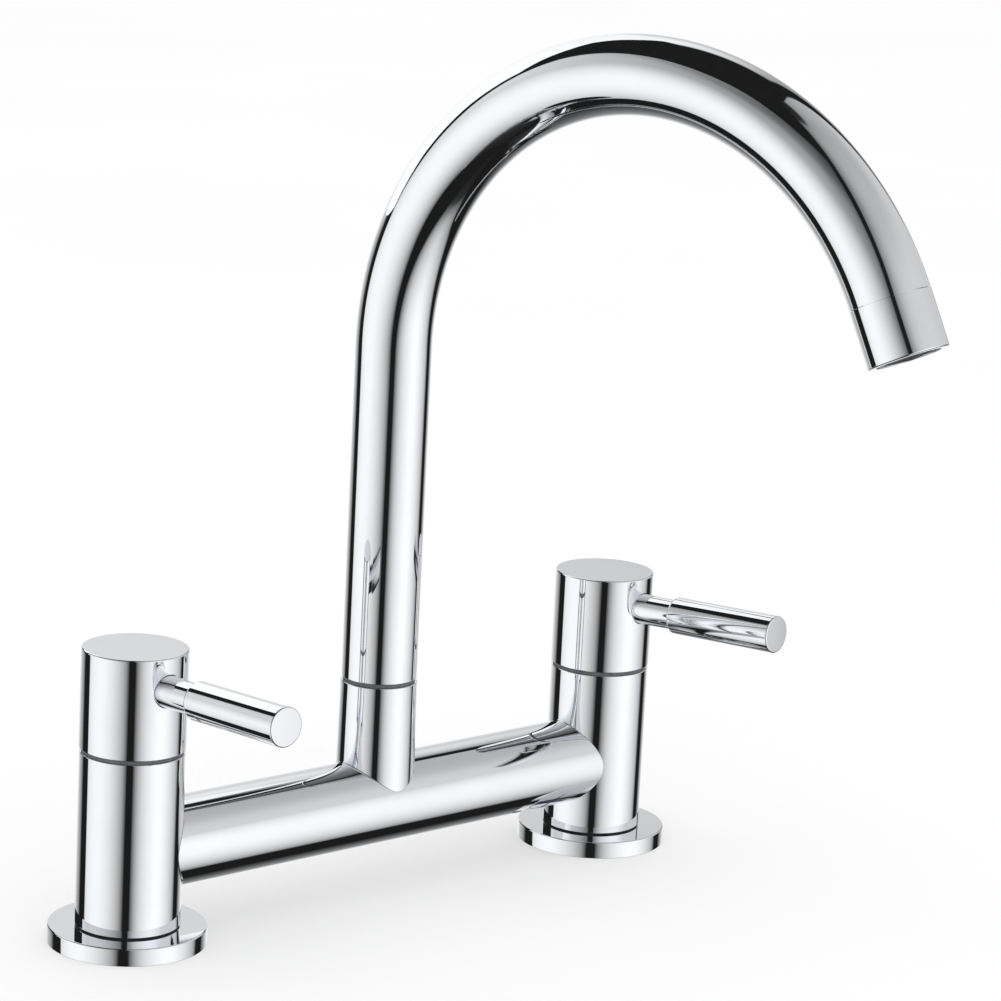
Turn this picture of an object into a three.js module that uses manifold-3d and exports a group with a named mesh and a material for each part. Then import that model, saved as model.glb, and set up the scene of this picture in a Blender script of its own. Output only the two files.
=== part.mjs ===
// Bridge kitchen faucet: two quarter-turn valve pillars on round deck flanges, a bridge
// tube between them and a swivelling gooseneck spout on the middle of the bridge.
//
// Millimetres, +Z up. The deck is the plane z = 0, and the origin lies on it halfway
// between the two inlets. X runs along the bridge from the left pillar to the right one,
// and -Y points to the user. Angles are in degrees, and levers and spout count theirs from -Y to +X.

import * as THREE from 'three';
import { mergeVertices } from 'three/addons/utils/BufferGeometryUtils.js';
import Module from 'manifold-3d';

const wasm = await Module();
wasm.setup();

// ---------------------------------------------------------------- clearances

const fitGap = 0.3; // round each piece that sits in, or is cut to, its neighbour
const runningPlay = 0.15; // between flat faces that slide on each other
const overcut = 1; // how far a cutting tool runs past the face it leaves by

// ---------------------------------------------------------------- facets

const bodySides = 28;
const innerSides = 20;
const smallSides = 12;
const spoutSides = 24;
const spoutBoreSides = 16;
const bendSteps = 24;
const portArcSteps = 5;
const clipArcSteps = 12;
const ringSectionSides = 4;

// ---------------------------------------------------------------- deck flanges

const inletCentres = 203.2;
const flangeRadius = 26;
const flangeThickness = 5.8;
const flangeChamfer = 0.5;
const gasketInner = 17;
const gasketOuter = 21.5;
const gasketThickness = 1.6;

// ---------------------------------------------------------------- pillars

const pillarRadius = 17.1;
const pillarHeight = 58.1;
const pillarChamfer = 0.4;
const footRadius = 13.5;
const footLength = 4.8;
const inletRadius = 9.5;
const inletDepth = 15;
const waterwayRadius = 5.5;
const pillarWall = 2.3;
const collarSeatDepth = 6.9;
const seatLedge = 2.3;
const seatLand = 1.1;

// ---------------------------------------------------------------- bridge

const bridgeRadius = 14.7;
const bridgeWall = 2;
const bridgeHeight = 30.6;
const portRadius = 5.5;

// ---------------------------------------------------------------- valve cartridge

const collarThickness = 1.5;
const hexAcrossFlats = 22;
const hexHeight = 4.5;
const neckRadius = 7.5;
const neckHeight = 9;
const threadLength = 12;
const sleeveRadius = 9.6;
const sleeveWall = 1.4;
const sealThickness = 2.8;
const sealHole = 5.8;
const discThickness = 3.2;
const discPortInner = 2.2;
const discPortRim = 1.6;
const discPortAngle = 80;
const footBarHeight = 8.4;
const footBarWidth = 8;
const tangWidth = 2.4;
const tangDepth = 1;
const windowWidth = 9;
const windowHeight = 7;
const ringSection = 0.9;
const ringSquash = 0.15;

// ---------------------------------------------------------------- spindle

const stemRadius = 4;
const stemRingSection = 0.7;
const stemRingDrop = 5;
const circlipRadius = 6.4;
const circlipThickness = 0.8;
const circlipMouthAngle = 70;
const circlipGroove = 0.6;
const splineTeeth = 20;
const splineDepth = 0.5;
const splineLength = 11.4;
const splineSetback = 0.6;

// ---------------------------------------------------------------- handles

const glideThickness = 1.2;
const glideInset = 0.6;
const glideSkirt = 2;
const glideWall = 1.1;
const capRadius = 17.3;
const capHeight = 33;
const capWall = 2.2;
const capRoof = 5;
const capChamfer = 0.5;
const bossRadius = 10;
const bossLength = 17.2;
const insertRadius = 5.2;
const insertLength = 12;
const leverDrop = 11.4;
const leverRiseAngle = 2;
const leverReach = 73.7;
const neckEnd = 31.5;
const leverNeckRadius = 5.25;
const gripRadius = 6.45;
const gripChamfer = 0.6;
const leverTailRadius = 3.7;
const leverTailLength = 4.2;
const grubRadius = 2.2;
const grubLength = 6;
const grubDrop = 18;
const grubSocketRadius = 1.25;
const grubSocketDepth = 2;
const grubAccess = 2.9;
const leftLeverAngle = 3;
const rightLeverAngle = 11;

// ---------------------------------------------------------------- spout

const socketHeight = 42.4;
const socketTopRadius = 12.95;
const socketBaseRadius = 13.5;
const spigotRadius = 10;
const spigotBore = 6.5;
const spigotDepth = 22.5;
const spigotInsertion = 12;
const socketLedge = 2.3;
const spigotRingDrops = [4.5, 9.5];
const grooveDrop = 16.5;
const grooveWidth = 6;
const grooveDepth = 2;
const spoutRadius = 12.75;
const spoutWall = 1.6;
const riserLength = 112.4;
const bendRadius = 100.7;
const bendAngle = 154.1;
const spoutSwingAngle = 10.3;

// ---------------------------------------------------------------- nozzle

const nozzleRadius = 12.95;
const nozzleLength = 18.2;
const nozzleTail = 5;
const nozzleChamfer = 0.6;
const nozzleThroat = 8.4;
const aeratorRadius = 9.9;
const aeratorHeight = 8;
const aeratorRecess = 1.2;
const aeratorWall = 1.4;
const aeratorLip = 1;
const screenThickness = 0.8;
const screenPitch = 2.9;
const screenHoleRadius = 1;
const screenRings = 2;
const aeratorSealThickness = 1.5;

// ---------------------------------------------------------------- levels that several pieces share

const pillarTop = flangeThickness + pillarHeight;
const pillarFoot = flangeThickness - footLength;
const collarSeat = pillarTop - collarSeatDepth;
const valveSeat = bridgeHeight - portRadius - seatLand;
const cartridgeBottom = valveSeat + sealThickness;
const fixedDiscTop = cartridgeBottom + discThickness;
const movingDiscBottom = fixedDiscTop + runningPlay;
const movingDiscTop = movingDiscBottom + discThickness;
const footBarTop = movingDiscTop + footBarHeight;
const chamberCeiling = footBarTop + runningPlay;
const hexTop = collarSeat + collarThickness + hexHeight;
const neckTop = hexTop + neckHeight;
const circlipBottom = neckTop + runningPlay;
const capBottom = pillarTop + glideThickness + runningPlay;
const capTop = capBottom + capHeight;
const capCeiling = capTop - capRoof;
const bossBottom = capCeiling - bossLength;
const insertTop = bossBottom + insertLength;
const spindleTop = insertTop - splineSetback;
const leverHeight = capTop - leverDrop;
const grubHeight = capTop - grubDrop;

const collarBore = pillarRadius - pillarWall;
const valveBore = collarBore - seatLedge;
const chamberRadius = sleeveRadius - sleeveWall;
const discRadius = chamberRadius - fitGap;
const stemBore = stemRadius + fitGap;
const capBore = capRadius - capWall;

const socketTop = bridgeHeight + socketHeight;
const socketBore = spigotRadius + fitGap;
const spigotBottom = socketTop - spigotDepth;
const spoutBottom = socketTop + glideThickness + runningPlay;
const spoutBore = spoutRadius - spoutWall;
const nozzleBore = aeratorRadius + fitGap;

// ---------------------------------------------------------------- finishes

const chrome = new THREE.MeshStandardMaterial({ color: 0xd9dbde, roughness: 0.06, metalness: 1 });
const brass = new THREE.MeshStandardMaterial({ color: 0xc9a254, roughness: 0.3, metalness: 1 });
const steel = new THREE.MeshStandardMaterial({ color: 0x9b9ea1, roughness: 0.35, metalness: 1 });
const ceramic = new THREE.MeshStandardMaterial({ color: 0xf2f0ea, roughness: 0.25, metalness: 0 });
const rubber = new THREE.MeshStandardMaterial({ color: 0x1c1c1d, roughness: 0.8, metalness: 0 });
const nylon = new THREE.MeshStandardMaterial({ color: 0x77797b, roughness: 0.5, metalness: 0 });

// ---------------------------------------------------------------- solids

/** Welds a geometry's seams and drops the empty triangles that a turned axis leaves. */
function welded(geometry) {
  geometry.deleteAttribute('normal');
  geometry.deleteAttribute('uv');
  const merged = mergeVertices(geometry, 1e-4);
  const corners = merged.index.array;
  const kept = [];
  for (let i = 0; i < corners.length; i += 3) {
    const [a, b, c] = corners.slice(i, i + 3);
    if (a !== b && b !== c && c !== a) kept.push(a, b, c);
  }
  merged.setIndex(kept);
  return merged;
}

/** Revolves [radius, height] points round Z: a loop, or a line from the axis to the axis. */
function turned(profile, sides) {
  const points = profile.map(([radius, height]) => new THREE.Vector2(radius, height));
  if (THREE.ShapeUtils.area(points) < 0) points.reverse();
  const onAxis = points.some((point) => point.x === 0);
  if (onAxis) {
    while (points[0].x !== 0 || points.at(-1).x !== 0) points.push(points.shift());
  } else {
    points.push(points[0].clone());
  }
  return welded(new THREE.LatheGeometry(points, sides).rotateX(Math.PI / 2));
}

/** A plain turned ring. */
function ring(inner, outer, bottom, top, sides) {
  return turned([[inner, bottom], [outer, bottom], [outer, top], [inner, top]], sides);
}

/** A round sealing ring whose outside reaches the given radius. */
function sealingRing(outer, section, height, sides) {
  const geometry = new THREE.TorusGeometry(outer - section, section, ringSectionSides, sides);
  return welded(geometry.translate(0, 0, height));
}

/** A straight round or six-sided bar between two points. */
function rod(radius, from, to, sides) {
  const span = new THREE.Vector3().subVectors(to, from);
  const length = span.length();
  const turn = new THREE.Quaternion().setFromUnitVectors(new THREE.Vector3(0, 1, 0), span.normalize());
  const geometry = new THREE.CylinderGeometry(radius, radius, length, sides);
  geometry.translate(0, length / 2, 0).applyQuaternion(turn).translate(from.x, from.y, from.z);
  return welded(geometry);
}

/** An upright bar on the Z axis. */
function upright(radius, bottom, top, sides) {
  return rod(radius, new THREE.Vector3(0, 0, bottom), new THREE.Vector3(0, 0, top), sides);
}

/** A box centred on the Z axis. */
function block(width, depth, bottom, top) {
  return welded(new THREE.BoxGeometry(width, depth, top - bottom).translate(0, 0, (bottom + top) / 2));
}

/** An outline extruded upwards from a level. */
function raised(shape, bottom, height) {
  const geometry = new THREE.ExtrudeGeometry(shape, { depth: height, bevelEnabled: false });
  return welded(geometry.translate(0, 0, bottom));
}

function toSolid(geometry) {
  const vertProperties = Float32Array.from(geometry.attributes.position.array);
  const triVerts = Uint32Array.from(geometry.index.array);
  return new wasm.Manifold(new wasm.Mesh({ numProp: 3, vertProperties, triVerts }));
}

function toGeometry(solid) {
  const mesh = solid.getMesh();
  const geometry = new THREE.BufferGeometry();
  geometry.setAttribute('position', new THREE.BufferAttribute(mesh.vertProperties, mesh.numProp));
  geometry.setIndex(new THREE.BufferAttribute(mesh.triVerts, 1));
  return geometry;
}

function joined(first, ...others) {
  return toGeometry(others.reduce((solid, other) => solid.add(toSolid(other)), toSolid(first)));
}

function cut(base, ...tools) {
  return toGeometry(tools.reduce((solid, tool) => solid.subtract(toSolid(tool)), toSolid(base)));
}

function shared(first, second) {
  return toGeometry(toSolid(first).intersect(toSolid(second)));
}

// ---------------------------------------------------------------- outlines

/** Points along an arc round the origin, both ends included. */
function arc(radius, fromDegrees, toDegrees, steps, centre = [0, 0]) {
  return Array.from({ length: steps + 1 }, (_, i) => {
    const angle = THREE.MathUtils.degToRad(fromDegrees + ((toDegrees - fromDegrees) * i) / steps);
    return new THREE.Vector2(centre[0] + radius * Math.cos(angle), centre[1] + radius * Math.sin(angle));
  });
}

/** A regular outline: a circle, or a hexagon with six sides. */
function regular(Outline, radius, sides, centre) {
  return new Outline(arc(radius, 0, 360, sides, centre).slice(0, sides));
}

/** A slice of a ring, from one angle to another. */
function sector(Outline, inner, outer, fromDegrees, toDegrees, steps) {
  const outside = arc(outer, fromDegrees, toDegrees, steps);
  const inside = arc(inner, toDegrees, fromDegrees, steps);
  return new Outline([...outside, ...inside]);
}

/** The toothed outline of the splined stem, or of the hole that fits it. */
function spline(Outline, tip) {
  const points = [];
  for (let i = 0; i < splineTeeth * 2; i++) {
    const angle = (Math.PI * i) / splineTeeth;
    const radius = i % 2 === 0 ? tip : tip - splineDepth;
    points.push(new THREE.Vector2(radius * Math.cos(angle), radius * Math.sin(angle)));
  }
  return new Outline(points);
}

// ---------------------------------------------------------------- deck flange and its gasket

function flange() {
  const grooveInner = gasketInner - fitGap;
  const grooveOuter = gasketOuter + fitGap;
  return turned([
    [footRadius + fitGap, 0],
    [grooveInner, 0],
    [grooveInner, gasketThickness],
    [grooveOuter, gasketThickness],
    [grooveOuter, 0],
    [flangeRadius, 0],
    [flangeRadius, flangeThickness - flangeChamfer],
    [flangeRadius - flangeChamfer, flangeThickness],
    [footRadius + fitGap, flangeThickness],
  ], bodySides);
}

function flangeGasket() {
  return ring(gasketInner, gasketOuter, 0, gasketThickness, innerSides);
}

// ---------------------------------------------------------------- pillar

/** The pillar's body, with the port that faces along X towards the bridge. */
function pillar(towardsBridge) {
  const inletTop = pillarFoot + inletDepth;
  const body = turned([
    [0, pillarFoot],
    [footRadius, pillarFoot],
    [footRadius, flangeThickness],
    [pillarRadius, flangeThickness],
    [pillarRadius, pillarTop - pillarChamfer],
    [pillarRadius - pillarChamfer, pillarTop],
    [0, pillarTop],
  ], bodySides);
  const bore = turned([
    [0, pillarFoot - overcut],
    [inletRadius, pillarFoot - overcut],
    [inletRadius, inletTop],
    [waterwayRadius, inletTop],
    [waterwayRadius, valveSeat],
    [valveBore, valveSeat],
    [valveBore, collarSeat],
    [collarBore, collarSeat],
    [collarBore, pillarTop + overcut],
    [0, pillarTop + overcut],
  ], innerSides);
  const inside = new THREE.Vector3(0, 0, bridgeHeight);
  const outside = new THREE.Vector3(towardsBridge * (pillarRadius + overcut), 0, bridgeHeight);
  return cut(body, bore, rod(portRadius, inside, outside, smallSides));
}

// ---------------------------------------------------------------- bridge

/** The hollow bridge, its ends coped to the pillars and its top open to the spout. */
function bridgeTube() {
  const half = inletCentres / 2;
  const left = new THREE.Vector3(-half, 0, bridgeHeight);
  const right = new THREE.Vector3(half, 0, bridgeHeight);
  const past = new THREE.Vector3(overcut, 0, 0);
  const tools = [rod(bridgeRadius - bridgeWall, left.clone().sub(past), right.clone().add(past), innerSides)];
  for (const side of [-1, 1]) {
    const cope = upright(pillarRadius + fitGap, 0, bridgeHeight + pillarHeight, bodySides);
    tools.push(cope.translate(side * half, 0, 0));
  }
  tools.push(upright(spigotBore, bridgeHeight, socketTop, smallSides));
  return cut(rod(bridgeRadius, left, right, bodySides), ...tools);
}

// ---------------------------------------------------------------- valve cartridge

/** The brass housing that screws into the pillar, with its two side windows. */
function cartridgeHousing() {
  const threadRadius = valveBore - fitGap;
  const collarRadius = collarBore - fitGap - glideWall - fitGap;
  const grooveTop = collarSeat - ringSection;
  const grooveBottom = grooveTop - 2 * ringSection - fitGap;
  const grooveRadius = valveBore - ringSquash - 2 * ringSection - ringSquash;
  const body = turned([
    [0, cartridgeBottom],
    [sleeveRadius, cartridgeBottom],
    [sleeveRadius, collarSeat - threadLength],
    [threadRadius, collarSeat - threadLength],
    [threadRadius, grooveBottom],
    [grooveRadius, grooveBottom],
    [grooveRadius, grooveTop],
    [threadRadius, grooveTop],
    [threadRadius, collarSeat],
    [collarRadius, collarSeat],
    [collarRadius, collarSeat + collarThickness],
    [neckRadius, collarSeat + collarThickness],
    [neckRadius, neckTop],
    [0, neckTop],
  ], innerSides);
  const hexCorner = hexAcrossFlats / Math.sqrt(3);
  const hexagon = upright(hexCorner, collarSeat + collarThickness / 2, hexTop, 6);
  const bore = turned([
    [0, cartridgeBottom - overcut],
    [chamberRadius, cartridgeBottom - overcut],
    [chamberRadius, chamberCeiling],
    [stemBore, chamberCeiling],
    [stemBore, neckTop + overcut],
    [0, neckTop + overcut],
  ], innerSides);
  const windowTop = movingDiscTop + windowHeight;
  const windows = block(2 * pillarRadius, windowWidth, movingDiscTop, windowTop);
  return cut(joined(body, hexagon), bore, windows);
}

/** The sealing ring between the cartridge's thread and the pillar. */
function cartridgeRing() {
  const height = collarSeat - 2 * ringSection - fitGap / 2;
  return sealingRing(valveBore - ringSquash, ringSection, height, innerSides);
}

/** The rubber seat that the fixed disc presses on. */
function cartridgeSeal() {
  return ring(sealHole, sleeveRadius, valveSeat, cartridgeBottom, innerSides);
}

/** A ceramic disc with two ports, either side of the given direction. */
function valveDisc(bottom, portDirection) {
  const shape = regular(THREE.Shape, discRadius, innerSides);
  for (const centre of [portDirection, portDirection + 180]) {
    const from = centre - discPortAngle / 2;
    const to = centre + discPortAngle / 2;
    shape.holes.push(sector(THREE.Path, discPortInner, discRadius - discPortRim, from, to, portArcSteps));
  }
  return raised(shape, bottom, discThickness);
}

function fixedDisc() {
  return valveDisc(cartridgeBottom, 0);
}

/** The disc that the spindle turns: a quarter turn from the fixed one, so the valve is shut. */
function movingDisc() {
  const slot = block(
    2 * discRadius + overcut,
    tangWidth + 2 * fitGap,
    movingDiscTop - tangDepth - fitGap,
    movingDiscTop + overcut,
  );
  return cut(valveDisc(movingDiscBottom, 90), slot);
}

// ---------------------------------------------------------------- spindle

/** The stem, with a flat bar and tang that drive the disc and a spline for the handle. */
function spindle() {
  const ringLevel = neckTop - stemRingDrop;
  const ringGroove = stemRingSection + fitGap;
  const ringGrooveRadius = stemBore - ringSquash - 2 * stemRingSection - ringSquash;
  const clipGrooveRadius = stemRadius - circlipGroove;
  const clipTop = circlipBottom + circlipThickness + runningPlay;
  const splineBottom = spindleTop - splineLength;
  const stem = turned([
    [0, footBarTop - runningPlay],
    [stemRadius, footBarTop - runningPlay],
    [stemRadius, ringLevel - ringGroove],
    [ringGrooveRadius, ringLevel - ringGroove],
    [ringGrooveRadius, ringLevel + ringGroove],
    [stemRadius, ringLevel + ringGroove],
    [stemRadius, neckTop],
    [clipGrooveRadius, neckTop],
    [clipGrooveRadius, clipTop],
    [stemRadius, clipTop],
    [stemRadius, splineBottom],
    [0, splineBottom],
  ], smallSides);
  const bar = shared(
    upright(discRadius, movingDiscTop + runningPlay, footBarTop, innerSides),
    block(2 * chamberRadius, footBarWidth, movingDiscTop, footBarTop + overcut),
  );
  const tangLength = 2 * (discRadius - discPortRim);
  const tang = block(tangLength, tangWidth, movingDiscTop - tangDepth, footBarTop - overcut);
  const teeth = raised(spline(THREE.Shape, stemRadius), splineBottom - overcut, splineLength + overcut);
  return joined(stem, bar, tang, teeth);
}

function stemRing() {
  return sealingRing(stemBore - ringSquash, stemRingSection, neckTop - stemRingDrop, smallSides);
}

/** The open clip that keeps the spindle down on the neck. */
function circlip() {
  const inner = stemRadius - circlipGroove + fitGap;
  const from = circlipMouthAngle / 2;
  const shape = sector(THREE.Shape, inner, circlipRadius, from, 360 - from, clipArcSteps);
  return raised(shape, circlipBottom, circlipThickness);
}

// ---------------------------------------------------------------- handle

/** The ring that shows as a grey line between the pillar and the cap. */
function glideRing() {
  const skirtRadius = collarBore - fitGap;
  return turned([
    [skirtRadius - glideWall, pillarTop - glideSkirt],
    [skirtRadius, pillarTop - glideSkirt],
    [skirtRadius, pillarTop],
    [pillarRadius - glideInset, pillarTop],
    [pillarRadius - glideInset, pillarTop + glideThickness],
    [skirtRadius - glideWall, pillarTop + glideThickness],
  ], bodySides);
}

/** The point on the lever's axis at a distance from the pillar's axis. */
function leverPoint(distance) {
  const rise = THREE.MathUtils.degToRad(leverRiseAngle);
  return new THREE.Vector3(0, -distance * Math.cos(rise), leverHeight + distance * Math.sin(rise));
}

/** The hollow cap, with the boss that takes the insert, the lever's tail and the grub screw. */
function handleCap() {
  const outside = turned([
    [0, capBottom],
    [capRadius - capChamfer, capBottom],
    [capRadius, capBottom + capChamfer],
    [capRadius, capTop - capChamfer],
    [capRadius - capChamfer, capTop],
    [0, capTop],
  ], bodySides);
  const hollow = turned([
    [0, capBottom - overcut],
    [capBore, capBottom - overcut],
    [capBore, capCeiling],
    [bossRadius, capCeiling],
    [bossRadius, bossBottom],
    [insertRadius + fitGap, bossBottom],
    [insertRadius + fitGap, insertTop],
    [0, insertTop],
  ], innerSides);
  const leverHole = rod(
    leverNeckRadius + fitGap,
    leverPoint(bossRadius + fitGap),
    leverPoint(capRadius + overcut),
    smallSides,
  );
  const tailHole = rod(
    leverTailRadius + fitGap,
    leverPoint(bossRadius - leverTailLength - fitGap),
    leverPoint(capRadius),
    smallSides,
  );
  const grubStart = new THREE.Vector3(0, 0, grubHeight);
  const bossEdge = new THREE.Vector3(0, bossRadius, grubHeight);
  const capEdge = new THREE.Vector3(0, capRadius + overcut, grubHeight);
  const grubHole = rod(grubRadius + fitGap, grubStart, bossEdge, smallSides);
  const accessHole = rod(grubAccess, bossEdge, capEdge, smallSides);
  return cut(outside, hollow, leverHole, tailHole, grubHole, accessHole);
}

/** The splined sleeve that is pressed into the cap's boss. */
function splineInsert() {
  const shape = regular(THREE.Shape, insertRadius, innerSides);
  shape.holes.push(spline(THREE.Path, stemRadius + fitGap));
  return raised(shape, bossBottom, insertLength);
}

/** The lever, turned in one piece: threaded tail, thinner neck and grip, along +Z. */
function lever() {
  const shoulder = bossRadius + fitGap;
  return turned([
    [0, bossRadius - leverTailLength],
    [leverTailRadius, bossRadius - leverTailLength],
    [leverTailRadius, shoulder],
    [leverNeckRadius, shoulder],
    [leverNeckRadius, neckEnd],
    [gripRadius - gripChamfer, neckEnd],
    [gripRadius, neckEnd + gripChamfer],
    [gripRadius, leverReach - gripChamfer],
    [gripRadius - gripChamfer, leverReach],
    [0, leverReach],
  ], innerSides);
}

/** A headless screw with a six-sided socket, from its tip at z = 0 up to its socket end. */
function grubScrew(length) {
  const socket = upright(grubSocketRadius, length - grubSocketDepth, length + overcut, 6);
  return cut(upright(grubRadius, 0, length, smallSides), socket);
}

// ---------------------------------------------------------------- spout

/** The socket that stands on the bridge, coped to it, with the hole for its retaining screw. */
function spoutSocket() {
  const body = turned([
    [socketBore, socketTop],
    [socketBore, spigotBottom - runningPlay],
    [socketBore - socketLedge, spigotBottom - runningPlay],
    [socketBore - socketLedge, bridgeHeight],
    [socketBaseRadius, bridgeHeight],
    [socketTopRadius, socketTop - pillarChamfer],
    [socketTopRadius - pillarChamfer, socketTop],
  ], bodySides);
  const left = new THREE.Vector3(-inletCentres / 2, 0, bridgeHeight);
  const right = new THREE.Vector3(inletCentres / 2, 0, bridgeHeight);
  const screwLevel = socketTop - grooveDrop;
  const screwStart = new THREE.Vector3(0, 0, screwLevel);
  const screwEnd = new THREE.Vector3(0, socketBaseRadius + overcut, screwLevel);
  return cut(
    body,
    rod(bridgeRadius + fitGap, left, right, bodySides),
    rod(grubRadius + fitGap, screwStart, screwEnd, smallSides),
  );
}

function spoutGlideRing() {
  return ring(socketBore, spoutRadius - glideInset, socketTop, socketTop + glideThickness, bodySides);
}

/** The turned spigot in the spout's lower end: two ring grooves and the screw's groove. */
function spoutSpigot() {
  const tubeFit = spoutBore - fitGap;
  const points = [
    [spigotBore, spigotBottom],
    [spigotRadius, spigotBottom],
  ];
  const ringGroove = ringSection + fitGap;
  const ringGrooveDepth = 2 * ringSection + ringSquash;
  const grooves = [
    { level: socketTop - grooveDrop, half: grooveWidth / 2, depth: grooveDepth },
    ...[...spigotRingDrops].reverse().map((drop) => (
      { level: socketTop - drop, half: ringGroove, depth: ringGrooveDepth })),
  ];
  for (const { level, half, depth } of grooves) {
    points.push([spigotRadius, level - half]);
    points.push([spigotRadius - depth, level - half]);
    points.push([spigotRadius - depth, level + half]);
    points.push([spigotRadius, level + half]);
  }
  points.push([spigotRadius, spoutBottom]);
  points.push([tubeFit, spoutBottom]);
  points.push([tubeFit, spoutBottom + spigotInsertion]);
  points.push([spigotBore, spoutBottom + spigotInsertion]);
  return turned(points, innerSides);
}

/** The spout's centre line in its own plane: a straight riser and then one round bend. */
class SpoutLine extends THREE.Curve {
  getPoint(t) {
    const step = t * (bendSteps + 1);
    if (step < 1) return new THREE.Vector3(0, 0, spoutBottom + riserLength * step);
    const angle = (THREE.MathUtils.degToRad(bendAngle) * (step - 1)) / bendSteps;
    const outwards = bendRadius * (1 - Math.cos(angle));
    const upwards = bendRadius * Math.sin(angle);
    return new THREE.Vector3(0, -outwards, spoutBottom + riserLength + upwards);
  }

  // One long step takes the riser, and equal short ones take the bend.
  getUtoTmapping(u) {
    return u;
  }
}

function spoutTube() {
  const section = regular(THREE.Shape, spoutRadius, spoutSides);
  section.holes.push(regular(THREE.Path, spoutBore, spoutBoreSides));
  const sweep = { steps: bendSteps + 1, extrudePath: new SpoutLine() };
  return welded(new THREE.ExtrudeGeometry(section, sweep));
}

// ---------------------------------------------------------------- nozzle, along -Z from the bend's end

const nozzleTop = -fitGap;
const nozzleEnd = nozzleTop - nozzleLength;
const aeratorBottom = nozzleEnd + aeratorRecess;
const aeratorTop = aeratorBottom + aeratorHeight;
const nozzleLedge = aeratorTop + aeratorSealThickness;
const screenBottom = aeratorBottom + aeratorLip;
const screenRadius = aeratorRadius - aeratorWall - fitGap;

// The tail is straight and the tube still bends round it, so it has that much more room.
const nozzleTailRadius = spoutBore - fitGap - nozzleTail ** 2 / bendRadius;

/** The straight end sleeve, with a tail in the tube and a bore for the aerator. */
function nozzleSleeve() {
  return turned([
    [nozzleBore, nozzleEnd],
    [nozzleRadius - nozzleChamfer, nozzleEnd],
    [nozzleRadius, nozzleEnd + nozzleChamfer],
    [nozzleRadius, nozzleTop],
    [nozzleTailRadius, nozzleTop],
    [nozzleTailRadius, nozzleTop + nozzleTail],
    [nozzleThroat, nozzleTop + nozzleTail],
    [nozzleThroat, nozzleLedge],
    [nozzleBore, nozzleLedge],
  ], bodySides);
}

/** The aerator's cup, with the lip that carries the screen. */
function aeratorBody() {
  const inner = aeratorRadius - aeratorWall;
  return turned([
    [inner - aeratorLip, aeratorBottom],
    [aeratorRadius, aeratorBottom],
    [aeratorRadius, aeratorTop],
    [inner, aeratorTop],
    [inner, screenBottom],
    [inner - aeratorLip, screenBottom],
  ], innerSides);
}

/** The perforated disc: six-sided holes on a triangular grid round the centre hole. */
function aeratorScreen() {
  const shape = regular(THREE.Shape, screenRadius, innerSides);
  for (let row = -screenRings; row <= screenRings; row++) {
    for (let column = -screenRings; column <= screenRings; column++) {
      if (Math.abs(row + column) > screenRings) continue;
      const x = screenPitch * (column + row / 2);
      const y = (screenPitch * row * Math.sqrt(3)) / 2;
      shape.holes.push(regular(THREE.Path, screenHoleRadius, 6, [x, y]));
    }
  }
  return raised(shape, screenBottom, screenThickness);
}

function aeratorSeal() {
  return ring(nozzleThroat, aeratorRadius, aeratorTop, nozzleLedge, innerSides);
}

// ---------------------------------------------------------------- assembly

const faucet = new THREE.Group();

function add(group, name, geometry, material) {
  const mesh = new THREE.Mesh(geometry, material);
  mesh.name = name;
  group.add(mesh);
  return mesh;
}

/** The fixed pieces of one pillar, round its own axis. */
function addPillar(group, side, towardsBridge) {
  add(group, `${side}_flange`, flange(), chrome);
  add(group, `${side}_flange_gasket`, flangeGasket(), rubber);
  add(group, `${side}_pillar`, pillar(towardsBridge), chrome);
  add(group, `${side}_cartridge_housing`, cartridgeHousing(), brass);
  add(group, `${side}_cartridge_ring`, cartridgeRing(), rubber);
  add(group, `${side}_cartridge_seal`, cartridgeSeal(), rubber);
  add(group, `${side}_fixed_disc`, fixedDisc(), ceramic);
  add(group, `${side}_glide_ring`, glideRing(), nylon);
}

/** The pieces that turn with one handle. The cap and lever are turned to the photographed pose. */
function addHandle(group, side, leverAngle) {
  add(group, `${side}_moving_disc`, movingDisc(), ceramic);
  add(group, `${side}_spindle`, spindle(), brass);
  add(group, `${side}_stem_ring`, stemRing(), rubber);
  add(group, `${side}_circlip`, circlip(), steel);
  add(group, `${side}_spline_insert`, splineInsert(), nylon);

  const swung = new THREE.Group();
  swung.rotation.z = THREE.MathUtils.degToRad(leverAngle);
  group.add(swung);
  add(swung, `${side}_handle_cap`, handleCap(), chrome);
  const arm = add(swung, `${side}_lever`, lever(), chrome);
  arm.position.z = leverHeight;
  arm.rotation.x = THREE.MathUtils.degToRad(90 - leverRiseAngle);
  const screw = add(swung, `${side}_grub_screw`, grubScrew(grubLength), steel);
  screw.position.set(0, insertRadius + fitGap, grubHeight);
  screw.rotation.x = -Math.PI / 2;
}

function addSpoutSocket(group) {
  add(group, 'spout_socket', spoutSocket(), chrome);
  add(group, 'spout_glide_ring', spoutGlideRing(), nylon);
  const length = socketTopRadius - spigotRadius + grooveDepth - fitGap;
  const screw = add(group, 'spout_screw', grubScrew(length), steel);
  screw.position.set(0, spigotRadius - grooveDepth + fitGap, socketTop - grooveDrop);
  screw.rotation.x = -Math.PI / 2;
}

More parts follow.
